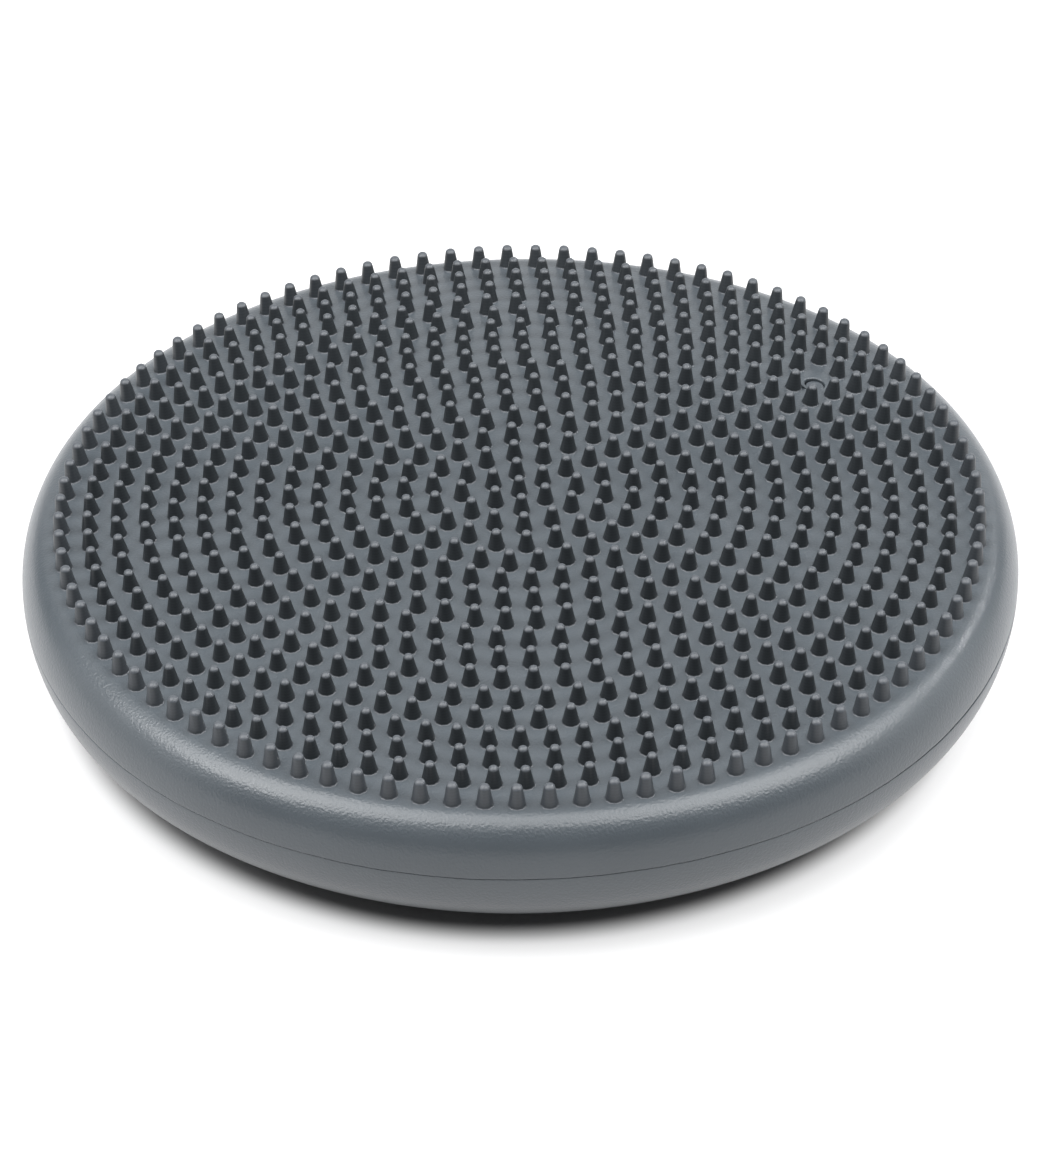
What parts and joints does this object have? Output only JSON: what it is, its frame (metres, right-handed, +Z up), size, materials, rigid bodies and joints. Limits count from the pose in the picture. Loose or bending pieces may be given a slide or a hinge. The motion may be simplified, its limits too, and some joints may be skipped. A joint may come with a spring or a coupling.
{
  "type": "inflatable balance disc",
  "caption": "Round air-filled balance cushion with cone studs in rings on its top face, a smooth rounded side, a seam line and a recessed air valve.",
  "frame": {"origin": "centre of the flat contact patch of the underside, on the floor", "axes": "+Z up through the centre of the disc; -Y towards the person who looks at it; +X to their right; the valve lies 34.3 degrees from +X towards +Y"},
  "size_m": [0.33, 0.33, 0.0662],
  "materials": {
    "skin": "satin grey soft vinyl skin",
    "valve_rubber": "matt dark grey soft vinyl",
    "valve_stopper": "satin grey soft vinyl"
  },
  "bodies": {
    "base": {"lower_shell": "skin"},
    "top": {"upper_shell": "skin", "valve_seat": "valve_rubber"},
    "stopper": {"valve_plug": "valve_stopper"}
  },
  "joints": [
    {"name": "press", "type": "slide", "parent": "base", "child": "top", "axis": [0, 0, -1], "range_m": [0, 0.012], "stiffness_N_per_m": 60000, "deforming": ["upper_shell"]},
    {"name": "plug_pull", "type": "slide", "parent": "top", "child": "stopper", "axis": [0.0742, 0.0506, 0.996], "range_m": [0, 0.02]}
  ]
}
